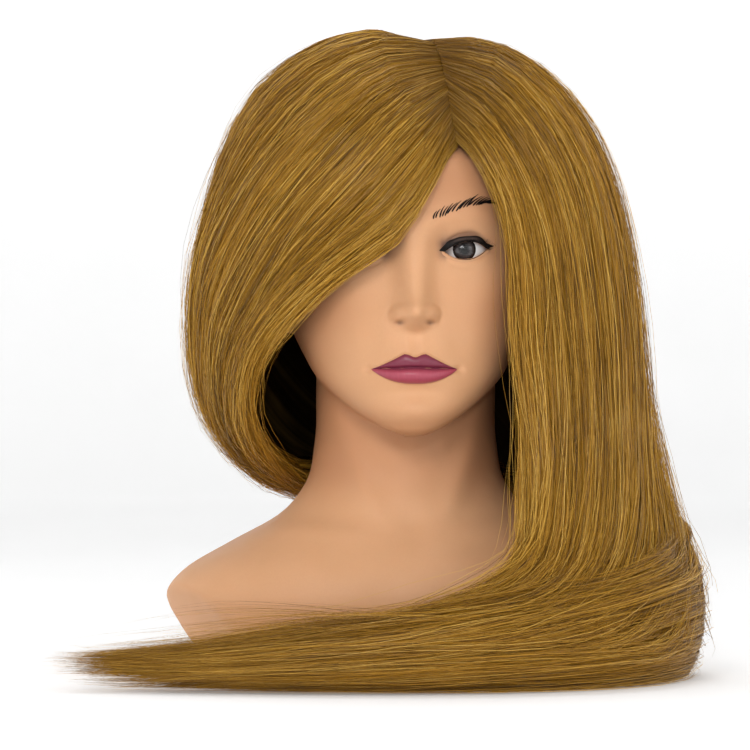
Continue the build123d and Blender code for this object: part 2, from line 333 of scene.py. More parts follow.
def radial(s, centre):
    """Distance from an eye's axis, in metres, seen along Y, and the offset itself."""
    apart = s.node("VectorMath", operation="SUBTRACT")
    s.link(s.places(), apart.inputs[0])
    apart.inputs[1].default_value = centre
    flat = s.node("VectorMath", operation="MULTIPLY")
    s.link(apart.outputs["Vector"], flat.inputs[0])
    flat.inputs[1].default_value = (1, 0, 1)
    far = s.node("VectorMath", operation="LENGTH")
    s.link(flat.outputs["Vector"], far.inputs[0])
    return far.outputs["Value"], flat.outputs["Vector"]


def eye_white_material(name, centre):
    s = Shader(name, Coat_Weight=0.8, Coat_Roughness=0.05, Roughness=0.3)
    far, _ = radial(s, centre)
    tone = s.colours(s.between(far, 0.006, 0.0125, 0.0, 1.0),
                     [(0.0, srgb(214, 213, 212)), (0.6, srgb(190, 184, 182)), (1.0, srgb(140, 116, 110))])
    veins = s.between(s.noise(260.0, 6.0, 0.7, distortion=2.0), 0.62, 0.75, 0.0, 0.18)
    return s.finish(Base_Color=s.mix(veins, tone, srgb(170, 110, 104)))


def iris_material(name, centre, radius):
    """Spokes round the pupil, a darker ring at the edge, and a clear coat over all."""
    s = Shader(name, Coat_Weight=0.9, Coat_Roughness=0.015, Roughness=0.6, Specular_IOR_Level=0.05)
    far, flat = radial(s, centre)
    way = s.node("VectorMath", operation="NORMALIZE")
    s.link(flat, way.inputs[0])
    spokes = s.noise(9.0, 5.0, 0.7, vector=way.outputs["Vector"], distortion=0.6)
    share = s.math("DIVIDE", far, radius)
    tone = s.colours(share, [(0.0, srgb(4, 4, 4)), (0.34, srgb(5, 5, 5)), (0.41, srgb(36, 33, 33)),
                             (0.60, srgb(74, 68, 67)), (0.80, srgb(54, 49, 49)), (0.93, srgb(5, 5, 5))])
    light = s.mix(s.between(spokes, 0.35, 0.65, 0.0, 0.6), tone, srgb(30, 29, 30), "MULTIPLY")
    outside_pupil = s.between(share, 0.34, 0.42, 0.0, 1.0)
    return s.finish(Base_Color=s.mix(outside_pupil, tone, light))


HAIR_STOPS = [
    (0.00, srgb(84, 56, 8)), (0.20, srgb(118, 80, 14)), (0.42, srgb(148, 104, 22)),
    (0.62, srgb(172, 123, 31)), (0.82, srgb(194, 146, 50)), (1.00, srgb(216, 173, 82)),
]


def hair_material(name, dim=1.0):
    """Blonde fibre. Across the texture is the strand's tint and up it is root to tip. dim below 1 makes a
    darker copy of it, as painted shade.
    """
    s = Shader(name, Specular_IOR_Level=0.26)
    spot = s.node("UVMap", uv_map="OFBake").outputs["UV"]
    parts = s.node("SeparateXYZ")
    s.link(spot, parts.inputs[0])
    streaks = s.noise(1.0, 5.0, 0.6, vector=s.stretched(spot, (130.0, 7.0, 1.0)))
    drift = s.noise(1.0, 2.0, 0.5, vector=s.stretched(spot, (14.0, 3.0, 1.0)))
    tint = s.math("ADD", parts.outputs["X"], s.between(streaks, 0.25, 0.75, -0.16, 0.16))
    tint = s.math("ADD", tint, s.between(drift, 0.3, 0.7, -0.12, 0.12))
    tint = s.math("ADD", tint, s.between(s.noise(26.0, 2.0), 0.32, 0.68, -0.07, 0.06))
    tone = s.colours(tint, [(p, tuple(c * dim for c in colour[:3]) + (1.0,)) for p, colour in HAIR_STOPS])
    # painted shade at the roots, darker where the hair leaves the scalp
    root = s.between(parts.outputs["Y"], 0.0, 0.11, 0.62, 0.0)
    tone = s.mix(root, tone, srgb(98, 64, 22))
    olive = s.between(s.noise(1.0, 2.0, vector=s.stretched(spot, (60.0, 2.0, 1.0))), 0.56, 0.70, 0.0, 0.45)
    tone = s.mix(olive, tone, srgb(98, 78, 36))
    return s.finish(Base_Color=tone, Roughness=s.between(streaks, 0.3, 0.7, 0.34, 0.46))


def moulded_material(name, colour, rough):
    """Moulded plastic: fine grain, slightly uneven gloss."""
    s = Shader(name, Specular_IOR_Level=0.45)
    cloud = s.noise(40.0, 3.0)
    paler = srgb(*[min(255, c + 14) for c in colour])
    shade = s.mix(s.between(cloud, 0.3, 0.7, 0.0, 0.25), srgb(*colour), paler)
    s.relief(s.noise(2400.0, 2.0), 0.25, 0.0002)
    return s.finish(Base_Color=shade, Roughness=s.between(cloud, 0.3, 0.7, rough, rough + 0.12))


def steel_material():
    s = Shader("zinc_steel", Metallic=1.0)
    brushed = s.noise(1.0, 4.0, vector=s.stretched(s.places(), (900.0, 90.0, 900.0)))
    shade = s.colours(brushed, [(0.3, srgb(158, 160, 164)), (0.7, srgb(196, 198, 200))])
    return s.finish(Base_Color=shade, Roughness=s.between(brushed, 0.3, 0.7, 0.28, 0.42))


# ---- the vinyl form -------------------------------------------------------------------------
# Neck and shoulders, from the rim up: height, half width, front, back
BUST = np.array([
    (6, 117, -69, 65), (10, 119, -71, 66), (30, 132, -79, 72), (48, 136.5, -81, 74),
    (62, 125, -77, 72), (76, 101, -68, 68), (92, 72, -57, 64), (108, 58, -50, 62), (132, 52, -46, 60),
    (165, 51, -46, 60), (200, 50, -46, 58),
], float)
# Jaw and cheeks, from the chin up
FACE = np.array([
    (137.5, 5, -75, -60), (139.5, 11, -80, -52), (144, 20, -84, -34), (149, 28, -86, -14),
    (157, 38.5, -86.5, 8), (169, 51, -86.5, 30), (182, 58.5, -85.5, 48), (196, 65, -85, 60),
    (226, 71.5, -85, 80), (262, 75, -85, 100), (290, 74, -84, 102),
], float)
SKULL_CENTRE = np.array([0, 9, 263.0])
SKULL_AXES = np.array([74.5, 94.5, 94.0])
STUMP_POINT = (-88, -74, 28)            # on the edge of the flat face where the arm would start
STUMP_NORMAL = (-0.759, -0.374, -0.534)
AXIS_Y = 8.0                            # the form is seen from this upright line at x = 0

EYE = (28.5, 240.2)                     # x and z of an eye's middle
GAZE = (27.8, 240.1)                    # x and z of the iris
LID_HALF = 11.75                        # half the width of an eye's opening
MOUTH_Z = 175.0
MOUTH_HALF = 24.0
NOSTRIL = (8.3, 199.6)                  # x and z of a nostril's middle


def soft_union(a, b, k):
    """The lower of two distances, with a rounded join of size k."""
    h = np.clip(0.5 + 0.5 * (b - a) / k, 0, 1)
    return b + (a - b) * h - k * h * (1 - h)


def stack_distance(sections, x, y, z, power=2.0):
    """Roughly the distance outside a stack of level ellipses."""
    level = np.clip(z, sections[0, 0], sections[-1, 0])
    shape = through(sections[:, 0], sections[:, 1:], level.ravel())
    half, front, back = shape.T.reshape(3, *level.shape)
    middle, deep = (front + back) / 2, (back - front) / 2
    ring = (np.abs(x / half) ** power + np.abs((y - middle) / deep) ** power) ** (1 / power) - 1
    beyond = z - level
    return np.hypot(np.maximum(ring * np.minimum(half, deep), 0), beyond) + np.minimum(
        ring * np.minimum(half, deep), 0) * (beyond == 0)


def lid_curves(x):
    """Heights of the upper and lower lid edges over |x|."""
    s = np.clip((np.abs(x) - EYE[0]) / LID_HALF, -1, 1)
    line = EYE[1] - 0.75 + 0.95 * s
    crest = 0.08
    upper = line + 4.7 * (1 - np.abs((s - crest) / np.where(s < crest, 1 + crest, 1 - crest)) ** 2.1)
    lower = line - 4.7 * (1 - np.abs(s) ** 2.2)
    return upper, lower


def inside_lids(x, z):
    """Positive between the lid edges, in mm."""
    upper, lower = lid_curves(x)
    ends = LID_HALF - np.abs(np.abs(x) - EYE[0])
    return np.minimum(np.minimum(upper - z, z - lower), ends)


def mouth_line(x):
    """Height of the line where the lips meet."""
    s = np.abs(x) / MOUTH_HALF
    return MOUTH_Z - 0.7 * s ** 2 - 0.35 * np.exp(-((s - 0.4) / 0.25) ** 2)


def lip_edges(x):
    """Heights of the lips' upper and lower outlines."""
    s = np.clip(np.abs(x) / MOUTH_HALF, 0, 1)
    corner = MOUTH_Z - 0.7
    bow = 8.3 - 1.8 * np.exp(-(s / 0.13) ** 2)
    upper = corner + bow * np.clip(1 - np.maximum(s - 0.25, 0) / 0.75, 0, 1) ** 1.22
    upper = np.where(s >= 1, corner, upper)
    lower = corner - 8.4 * (1 - s ** 2.3) ** 0.9
    return upper, lower


def lip_swell(t):
    """A lip's fullness from its inner edge, t = 0, to its outline, t = 1."""
    return np.clip(1 - (2 * np.clip(t, 0, 1) - 1) ** 2, 0, 1) ** 0.7


def relief_of_face(x, z, open_eyes=True):
    """How far the face's features stand forward of the plain form, in mm."""
    side = np.abs(x)
    h = np.zeros(np.broadcast(x, z).shape)
    # brow, sockets and lids
    h += 2.0 * bump(side, z, 30, 260, 19, 8) + 0.6 * bump(side, z, 12, 258, 12, 10)
    h -= 5.4 * bump(side, z, 28, 243, 14.5, 9.5) + 3.0 * bump(side, z, 15, 243, 6.5, 9)
    h += 4.4 * bump(side, z, 29.5, 240.5, 11.0, 7.5)
    upper, lower = lid_curves(x)
    near_eye = np.exp(-(((side - EYE[0]) / 11.5) ** 4))
    h -= 1.1 * near_eye * np.exp(-((z - upper - 4.6) / 1.2) ** 2)
    h -= 0.5 * near_eye * np.exp(-((z - lower + 4.2) / 1.6) ** 2)
    h -= 1.6 * bump(side, z, 50, 240, 8, 12)
    # nose: bridge, tip, wings and nostrils. Its lower edge rises towards the wings.
    low_z = z - 0.022 * np.minimum(side, 15) ** 2 * (1 - ramp(z, 204, 222))
    height = through([190, 194.0, 198.0, 203, 207, 213, 222, 232, 242, 250, 262],
                     [0, 1.2, 7.5, 14.0, 16.0, 15.2, 12.2, 9.2, 6.4, 3.8, 0],
                     np.clip(low_z, 190, 262).ravel()).reshape(h.shape)
    wide = through([190, 199, 206, 214, 226, 240, 262], [8.4, 8.3, 8.3, 8.8, 9.5, 10.4, 14.0],
                   np.clip(z, 190, 262).ravel()).reshape(h.shape)
    h += height * np.exp(-(side / wide) ** (2.0 + 0.5 * ramp(z, 208, 224)))
    under = ramp(low_z, 192.5, 200.0)
    h += (4.6 * bump(side, z, 9.8, 204.0, 4.0, 5.0) + 1.0 * bump(side, z, 9.5, 209, 5.0, 6)) * under
    h += 4.0 * bump(side, z, 0, 204.6, 7.4, 6.8)
    h -= 3.0 * bump(side, z, *NOSTRIL, 2.4, 1.4)
    wing = np.hypot(side - 9.0, (z - 204.0) / 1.15)
    h -= 0.9 * np.exp(-((wing - 5.8) / 1.3) ** 2) * ramp(side + 0.8 * (z - 203), 8, 13)
    # cheeks and the folds beside the mouth
    h += 3.6 * bump(side, z, 38, 214, 17, 17) + 1.6 * bump(side, z, 52, 224, 10, 12)
    h -= 1.4 * bump(side, z, 24, 190, 7, 12) + 1.6 * bump(side, z, 40, 182, 12, 16)
    # mouth
    h += 5.2 * bump(side, z, 0, 177, 21, 17)
    h -= 0.7 * bump(side, z, 0, 189, 2.8, 5.5) - 0.3 * bump(side, z, 4.6, 189, 2.4, 6)
    lip_top, lip_bottom = lip_edges(x)
    line = mouth_line(x)
    fade = np.clip(1 - (side / (MOUTH_HALF + 0.5)) ** 2.6, 0, 1)
    t_up = (z - line) / np.maximum(lip_top - line, 0.5)
    t_low = (line - z) / np.maximum(line - lip_bottom, 0.5)
    upper_lip = 1.9 * lip_swell(t_up * 0.9) * (t_up > 0) * (t_up < 1.11)
    lower_lip = 3.6 * lip_swell(t_low) * (t_low > 0) * (t_low < 1)
    h += fade * (upper_lip + lower_lip)
    upper_rim = np.exp(-((t_up - 1) / 0.5) ** 2) * (t_up > 0)
    lower_rim = 0.4 * np.exp(-((t_low - 1) / 0.5) ** 2) * (t_low > 0)
    h += fade * 0.25 * (upper_rim + lower_rim)
    parted = np.clip(1 - (side / (MOUTH_HALF + 1.2)) ** 4, 0, 1)
    h -= 1.1 * parted * np.exp(-((z - line) / 1.1) ** 2)
    h -= 1.6 * bump(side, z, MOUTH_HALF + 0.8, 174.3, 2.4, 2.2)
    # chin
    h -= 2.4 * bump(side, z, 0, 161.5, 15, 5.0)
    h += 3.4 * bump(side, z, 0, 151, 14, 8.0)
    if open_eyes:
        h -= 7.5 * ramp(inside_lids(x, z), -0.9, 0.1)
    return h


def skin_distance(x, y, z, open_eyes=True):
    """Roughly the distance outside the vinyl skin."""
    forward = ramp(-y, 34, 62) * ramp(z, 132, 142)
    y_face = y + relief_of_face(x, z, open_eyes) * forward
    face = stack_distance(FACE, x, y_face, z, 2.25)
    across = [(c - m) / a for c, m, a in zip((x, y_face, z), SKULL_CENTRE, SKULL_AXES)]
    skull = (np.sqrt(sum(c * c for c in across)) - 1) * 80
    bust = stack_distance(BUST, x, y, z)
    # muscle from behind the ear to the pit of the neck, and the collar bones
    side = np.abs(x)
    along = np.clip((168 - z) / 84, 0, 1)
    cord = 46 - 30 * along ** 1.2
    bust = bust - 2.2 * np.exp(-((side - cord) / 8) ** 2) * ramp(-y, -10, 25) * ramp(z, 84, 104)
    bust = bust + 2.0 * np.exp(-(x / 9) ** 2 - ((z - 86) / 10) ** 2) * ramp(-y, 20, 45)
    collar = ramp(side, 14, 40) * ramp(-side, -100, -70) * ramp(-y, 10, 45)
    bust = bust - 1.6 * np.exp(-((z - 82 - 0.06 * side) / 5) ** 2) * collar
    stump = sum(n * (c - p) for n, c, p in zip(STUMP_NORMAL, (-side, y, z), STUMP_POINT))
    bust = -soft_union(-bust, -stump, 2.5)
    ear = np.sqrt(((side - 75) / 7) ** 2 + ((y - 12) / 15) ** 2 + ((z - 224) / 30) ** 2) - 1
    form = soft_union(face, skull, 12)
    form = soft_union(form, ear * 7, 5)
    return soft_union(form, bust, 7)


def outermost(distance, start, way, reach):
    """Where rays from start leave the form for good. Arrays of points and directions."""
    steps = 36
    radii = np.linspace(reach, 1, steps)
    low = np.full(start.shape[:-1], 1.0)
    high = np.full(start.shape[:-1], 2.0)
    found = np.zeros(start.shape[:-1], bool)
    for i in range(1, steps):
        p = start + way * radii[i]
        hit = ~found & (distance(p[..., 0], p[..., 1], p[..., 2]) < 0)
        low[hit], high[hit] = radii[i], radii[i - 1]
        found |= hit
    for _ in range(11):
        middle = (low + high) / 2
        p = start + way * middle[..., None]
        inside = distance(p[..., 0], p[..., 1], p[..., 2]) < 0
        low, high = np.where(inside, middle, low), np.where(inside, high, middle)
    return start + way * ((low + high) / 2)[..., None]


def front_of_face(x, z, open_eyes=False):
    """The skin's y in front, at places x and z."""
    x, z = np.broadcast_arrays(np.asarray(x, float), np.asarray(z, float))
    start = np.stack([x, np.full(x.shape, -20.0), z], -1)
    way = np.broadcast_to(np.array([0, -1.0, 0]), start.shape)
    return outermost(lambda a, b, c: skin_distance(a, b, c, open_eyes), start, way, 105)[..., 1]


def spaced(stops):
    """Values from the first stop's place on, each stretch with its own step: (place, step)."""
    values = []
    for (a, step), (b, _) in zip(stops, stops[1:]):
        values += list(np.linspace(a, b, max(2, round((b - a) / step) + 1))[:-1])
    return np.array(values + [stops[-1][0]])


# Heights of the skin's rows, and angles of its columns from the front
ROW_STOPS = [(7.5, 3.0), (60, 2.6), (128, 1.4), (137, 0.55), (150, 0.85), (164, 0.55), (186, 0.9),
             (195.5, 0.42), (209, 1.1), (229, 0.5), (251, 1.1), (263, 1)]
TURN_STOPS = [(-180, 2.2), (-50, 0.9), (-31, 0.45), (31, 0.9), (50, 2.2), (180, 1)]


def make_skin(material):
    """One skin over face, neck and shoulders, from level rows, closed by a dome over the skull."""
    levels = spaced(ROW_STOPS)
    lifts = np.linspace(0, 90, 42)[1:]
    turns = np.radians(spaced(TURN_STOPS)[:-1])
    rows = len(levels) + len(lifts)
    tilt = np.radians(np.concatenate([np.zeros(len(levels)), lifts]))[:, None]
    height = np.concatenate([levels, np.full(len(lifts), levels[-1])])[:, None]
    start = np.stack(np.broadcast_arrays(0.0, AXIS_Y, height + 0 * turns), -1)
    points = outermost(skin_distance, start, outward_ways(turns, tilt), 170)
    hem = points[0].copy()
    hem[:, :2] = (hem[:, :2] - [0, -2]) * 0.9 + [0, -2]
    hem[:, 2] = 8.2
    points = np.concatenate([hem[None], points])
    piece = mesh_piece("vinyl_skin", points, grid_faces(rows + 1, len(turns), True), material,
                       uv=grid_uv(rows + 1, len(turns), True))
    x, y, z = points.reshape(-1, 3).T
    upper, _ = lid_curves(x)
    beyond = np.maximum(np.abs(np.abs(x) - EYE[0]) - LID_HALF, 0)
    apart = np.hypot(np.maximum(np.abs(z - upper - 1.6) - 2.2, 0), beyond)
    outer = np.clip((np.abs(x) - EYE[0]) / LID_HALF, -1, 1)
    eye_shadow = 0.72 * np.exp(-(apart / (2.6 - 0.8 * outer)) ** 2)
    inner_corner = 0.26 * bump(np.abs(x), z, 16.5, 244, 4.5, 6)
    # painted shade in the nostril hollows
    nostrils = 0.60 * bump(np.abs(x), z, *NOSTRIL, 2.3, 1.3)
    paint(piece, "shadow", np.clip((eye_shadow + inner_corner + nostrils) * (y < -40), 0, 1))
    # warmer and darker: sprayed blush on the cheeks, and painted shade on the forehead under the hairline,
    # on the outer cheeks and on the neck under the jaw
    on_face = ramp(-y, 30, 60) * ramp(z, 140, 160)
    blush_and_shade_paint = on_face * (0.55 * ramp(z, 246, 278) + 0.40 * ramp(np.abs(x), 30, 58))
    blush_and_shade_paint += on_face * 0.30 * bump(np.abs(x), z, 40, 208, 18, 16)
    blush_and_shade_paint += 0.68 * ramp(z, 92, 122) * (1 - on_face) * (0.6 + 0.4 * ramp(np.abs(x), 18, 46))
    paint(piece, "blush_and_shade", np.clip(blush_and_shade_paint, 0, 0.9))
    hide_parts("bust_skin")


def make_foam(material):
    """The block inside the skin, well in from it, with a flat underside."""
    inset, dome = 13, 14
    levels = np.concatenate([np.arange(14, 262, 6.0), np.full(dome, 263.0)])[:, None]
    tilt = np.radians(np.concatenate([np.zeros(len(levels) - dome), np.linspace(5, 90, dome)]))[:, None]
    turns = np.radians(np.arange(0, 360, 4.0))
    start = np.stack(np.broadcast_arrays(0.0, AXIS_Y, levels + 0 * turns), -1)
    points = outermost(lambda x, y, z: skin_distance(x, y, z, False) + inset, start,
                       outward_ways(turns, tilt), 165)
    middle = np.array([0, AXIS_Y, levels[0, 0]])
    bottom = middle + (points[0] - middle) * np.array([0.02, 0.5, 0.9])[:, None, None]
    points = np.concatenate([bottom, points])
    piece = mesh_piece("foam_block", points, grid_faces(len(points), len(turns), True), material,
                       uv=grid_uv(len(points), len(turns), True))
    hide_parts("foam_core")


def make_scalp(material):
    """The rooted cap: the same form, 0.6 mm proud, behind the hairline."""
    turns = np.radians(np.arange(0, 360, 3.0))
    share = np.linspace(0, 1, 48)[:, None]
    hairline_front, hairline_nape = 33.0, -42.0
    lowest = hairline_nape + (hairline_front - hairline_nape) * (0.5 + 0.5 * np.cos(turns)) ** 1.2
    way = outward_ways(turns, np.radians(lowest + (90 - lowest) * share))
    start = np.broadcast_to(SKULL_CENTRE, way.shape)
    points = outermost(skin_distance, start, way, 140)
    points = points + way * 0.6 * ramp(share, 0.0, 0.05)[..., None]
    piece = mesh_piece("rooted_scalp", points, grid_faces(len(share), len(turns), True), material,
                       uv=grid_uv(len(share), len(turns), True))
    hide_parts("scalp_cap")


# ---- painted face ---------------------------------------------------------------------------
def make_lips(material):
    """A thin painted skin over both lips, so that the paint has a clean edge."""
    columns, rows = 120, 56
    x = (np.sin(np.linspace(-1, 1, columns) * math.pi / 2) * (MOUTH_HALF - 0.2))[None, :]
    t = np.linspace(-1, 1, rows)[:, None]
    top, bottom = lip_edges(x)
    line = mouth_line(x)
    z = np.where(t > 0, line + (top - line) * t, line + (line - bottom) * t)
    y = front_of_face(x + 0 * z, z)
    edge = np.minimum(ramp(1 - np.abs(t), 0, 0.07), ramp(MOUTH_HALF - np.abs(x), 0.2, 1.2))
    points = np.stack([x + 0 * z, y + 0.12 - 0.42 * edge, z], -1)
    piece = mesh_piece("lips", points, grid_faces(rows, columns), material, uv=grid_uv(rows, columns))
    # painted shade along the line where the lips meet and over the whole upper lip
    dark = 0.8 * np.exp(-(t / 0.09) ** 2) + 0.78 * ramp(t, 0.0, 0.12) + 0 * x
    paint(piece, "shadow", np.clip(dark, 0, 1))


def lid_loop(count):
    """Points and outward directions round an eye's opening, as x and z, on the left eye."""
    s = np.cos(np.linspace(0, 2 * math.pi, count, endpoint=False))
    up = np.arange(count) < count / 2
    x = EYE[0] + s * LID_HALF
    upper, lower = lid_curves(x)
    z = np.where(up, upper, lower)
    loop = np.stack([x, z], -1)
    ahead = np.roll(loop, -1, 0) - np.roll(loop, 1, 0)
    out = unit(np.stack([ahead[:, 1], -ahead[:, 0]], -1))
    return loop, out


# Section of the lid edge, from out on the skin to in behind it: how far out, how deep
LID_PROFILE = [(2.6, 0.5), (2.0, 0.02), (1.3, -0.14), (0.7, -0.16), (0.25, 0.02), (0.0, 0.45),
               (0.05, 1.2), (0.3, 4.5)]


def make_lids(side, material):
    """The rolled edge of the skin round an eye's opening."""
    loop, out = lid_loop(160)
    rings = []
    for wide, deep in LID_PROFILE:
        at = loop + out * wide
        y = front_of_face(at[:, 0], at[:, 1]) + deep
        rings.append(np.stack([side * at[:, 0], y, at[:, 1]], -1))
    rings = np.array(rings)
    piece = mesh_piece(f"{side_word(side)}_lid_edge", rings, grid_faces(len(rings), len(loop), True),
                       material, uv=grid_uv(len(rings), len(loop), True))
    paint(piece, "shadow", np.where(rings[..., 2] > EYE[1], 0.55, 0.12))


def make_eye(side):
    """Eyeball with an iris dome. The ball follows the lids, turned a little outwards."""
    word = side_word(side)
    lid_y = float(front_of_face(EYE[0], EYE[1] + 7.0))
    middle = np.array([EYE[0], lid_y + 13.4, EYE[1] - 0.4])
    axes = np.array([15.0, 12.0, 13.2])
    turn = math.radians(14)
    rows, columns = 40, 56
    lifts = np.radians(np.linspace(-60, 60, rows))[:, None]
    turns = np.radians(np.linspace(-75, 75, columns))
    ball = outward_ways(turns, lifts) * axes
    ball_x = ball[..., 0] * math.cos(turn) - ball[..., 1] * math.sin(turn)
    ball_y = ball[..., 0] * math.sin(turn) + ball[..., 1] * math.cos(turn)
    ball = (np.stack([ball_x, ball_y, ball[..., 2]], -1) + middle) * [side, 1, 1]
    centre = (side * GAZE[0] * MM, 0, GAZE[1] * MM)
    white = mesh_piece(f"{word}_eyeball", ball, grid_faces(rows, columns),
                       eye_white_material(f"{word}_eye_white", centre), uv=grid_uv(rows, columns))
    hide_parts(f"{word}_eye_white")

    radius, rings, spokes = 6.4, 26, 72
    share = np.linspace(0.0, 1, rings)[:, None]
    angle = np.linspace(0, 2 * math.pi, spokes, endpoint=False)
    x = GAZE[0] + radius * share * np.cos(angle)
    z = GAZE[1] + radius * share * np.sin(angle)
    # the ball's front at those places
    reach = np.linspace(-14, 0, 281)[:, None, None]
    px, py, pz = x[None] - middle[0], reach + 0 * x[None], z[None] - middle[2]
    local_x = px * math.cos(turn) + py * math.sin(turn)
    local_y = -px * math.sin(turn) + py * math.cos(turn)
    inside = (local_x / axes[0]) ** 2 + (local_y / axes[1]) ** 2 + (pz / axes[2]) ** 2 < 1
    y = middle[1] + reach[np.argmax(inside, axis=0), 0, 0]
    y = y - 0.06 - 0.9 * (1 - share ** 2)
    iris = mesh_piece(f"{word}_iris", np.stack([side * x, y, z], -1), grid_faces(rings, spokes, True),
                      iris_material(f"{word}_iris", centre, radius * MM), uv=grid_uv(rings, spokes, True))
    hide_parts(f"{word}_eye_iris", f"{word}_eye_cornea")


def on_skin(x, z, proud):
    """Places on the face, proud of it, for either side's x."""
    return np.stack([x, front_of_face(x, z) - proud, z], -1)


def painted_band(name, s, low, high, proud, material, side, rows=9):
    """A thin painted strip on the eyelid between heights low and high, with a painted sheen, paler, along
    its middle.
    """
    x = EYE[0] + s * LID_HALF
    t = np.linspace(0, 1, rows)[:, None]
    z = low + (high - low) * t
    x = side * x + 0 * z
    y = front_of_face(x, z) - proud
    points = np.stack([x, y + 0.05, z], -1)
    points[1:-1, 1:-1, 1] -= 0.05
    piece = mesh_piece(name, points, grid_faces(rows, len(s)), material, uv=grid_uv(rows, len(s)))
    # painted sheen along the band's middle, paler: a painted highlight
    painted_sheen = np.exp(-((t - 0.55) / 0.24) ** 2) * ramp(s, -0.9, -0.2) * (1 - ramp(s, 0.4, 0.9))
    paint(piece, "shadow", painted_sheen)


def make_liner(side, material):
    """The dark painted upper lid with its wing, and a thin line along the lower lid."""
    word = side_word(side)
    s = np.linspace(-1.26, 1.34, 120)
    upper, _ = lid_curves(EYE[0] + s * LID_HALF)
    thick = through([-1.26, -0.98, -0.56, 0.13, 0.88, 1.34], [0.5, 4.0, 3.7, 3.0, 3.8, 0.5], s)
    low = upper + 0.1 + 4.0 * np.maximum(s - 1, 0) + 1.5 * np.maximum(-1 - s, 0)
    painted_band(f"{word}_liner", s, low, low + thick, 0.36, material, side)
    s = np.linspace(-0.75, 1.05, 80)
    _, lower = lid_curves(EYE[0] + s * LID_HALF)
    thin = 0.42 * ramp(s, -0.75, 0.2)
    painted_band(f"{word}_lower_liner", s, lower - 0.25 - thin, lower - 0.25, 0.32, material, side, 4)


def tapered_hairs(name, roots, tips, bends, radius, material, steps=7):
    """Short hairs, each a curved round spike. bends moves the middle of each."""
    t = np.linspace(0, 1, steps)[None, :, None]
    line = roots[:, None] * (1 - t) + tips[:, None] * t + 4 * t * (1 - t) * bends[:, None]
    ahead = unit(np.gradient(line, axis=1))
    side = unit(np.cross(ahead, np.array([0.13, -0.2, 0.97])))
    other = np.cross(side, ahead)
    size = radius * (1 - 0.9 * np.linspace(0, 1, steps)) ** 0.8
    rings = [line + (math.cos(a) * side + math.sin(a) * other) * size[None, :, None]
             for a in np.radians([0, 120, 240])]
    points = np.stack(rings, 2)
    faces = repeated(grid_faces(steps, 3, True), len(roots), steps * 3)
    uv = np.tile(grid_uv(steps, 3, True), (len(roots), 1))
    return mesh_piece(name, points, faces, material, uv=uv)


def make_lashes(side, material):
    """Upper lashes that fan out and up."""
    rng = np.random.default_rng(5)
    word = side_word(side)
    count = 64
    s = np.linspace(-0.86, 1.04, count) + rng.uniform(-0.012, 0.012, count)
    x = EYE[0] + s * LID_HALF
    upper, _ = lid_curves(x)
    root = np.stack([side * x, front_of_face(x, upper + 0.5) - 0.2, upper + 0.4], -1)
    length = (3.2 + 3.8 * ramp(s, -0.6, 0.95)) * rng.uniform(0.8, 1.1, count)
    way = np.stack([side * (0.05 + 0.55 * s), np.full(count, -0.72), np.full(count, 0.30)], -1)
    tip = root + unit(way) * length[:, None]
    bend = np.stack([0 * s, 0 * s - 0.3, -0.5 - 0.15 * length], -1)
    lash = tapered_hairs(f"{word}_lashes", root, tip, bend, 0.17, material)
    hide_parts(f"{word}_lash_strip")


# Feet and tips of the painted brow strokes, from the nose outwards, as x and z
BROW_FEET = [(10.1, 256.3), (18.3, 259.0), (28.7, 263.1), (36.4, 265.0), (41.0, 266.0)]
BROW_TIPS = [(12.0, 261.0), (23.4, 265.8), (35.8, 269.6), (43.6, 267.8), (47.6, 264.5)]
BROW_STROKES = 21


def make_brow(side, material):
    """Slanted hair strokes painted along an arch."""
    rng = np.random.default_rng(9)
    knots, at = np.linspace(0, 1, len(BROW_FEET)), np.linspace(0, 1, BROW_STROKES)
    feet = through(knots, BROW_FEET, at) + rng.normal(0, 0.25, (BROW_STROKES, 2))
    tips = through(knots, BROW_TIPS, at) + rng.normal(0, 0.35, (BROW_STROKES, 2))
    steps, strokes = 9, []
    for foot, tip in zip(feet, tips):
        t = np.linspace(0, 1, steps)[:, None]
        along = tip - foot
        across = unit(np.array([-along[1], along[0]]))
        line = foot + along * t + across * 0.45 * np.sin(math.pi * t)
        half = 0.58 * (1 - 0.8 * t) * (0.5 + 0.5 * ramp(t, 0, 0.25))
        rows = [line + across * half * k for k in (-1, 0, 1)]
        strokes.append([on_skin(side * row[:, 0], row[:, 1], 0.24) for row in rows])
    faces = repeated(grid_faces(3, steps), len(strokes), 3 * steps)
    uv = np.tile(grid_uv(3, steps), (len(strokes), 1))
    piece = mesh_piece(f"{side_word(side)}_brow", np.array(strokes), faces, material, uv=uv)


# ---- hair -----------------------------------------------------------------------------------
# The gathered lengths run round the left shoulder and along the chest. Each station gives their
# centre, half height and half depth
HANK = np.array([
    (100, 98, 92, 34, 14), (130, 76, 72, 40, 13), (150, 44, 56, 44, 12), (158, 5, 47, 45, 12),
    (152, -38, 43, 42, 13), (130, -76, 37, 36, 15), (96, -104, 31, 30, 18), (50, -119, 26.5, 25.5, 22),
    (0, -122, 21.5, 20.5, 24), (-60, -119, 17.5, 16, 23), (-115, -111, 14, 12, 20),
    (-165, -103, 12, 10, 15), (-213, -97, 13, 8, 11),
], float)


def along_hank(enter, angle, swell=1.0):
    """Points on the gathered hair's surface from station enter on. 0 is on top, 90 outside."""
    path = HANK[enter:]
    ahead = unit(np.gradient(HANK[:, :3], axis=0))[enter:]
    out = unit(np.cross(np.array([0, 0, 1.0]), ahead))
    a = math.radians(angle)
    lift = path[:, 3] * math.cos(a) * swell
    push = path[:, 4] * math.sin(a) * swell
    points = path[:, :3] + out * push[:, None] + np.array([0, 0, 1.0]) * lift[:, None]
    points[:, 2] = np.maximum(points[:, 2], 1.0)
    return [tuple(p) for p in points]


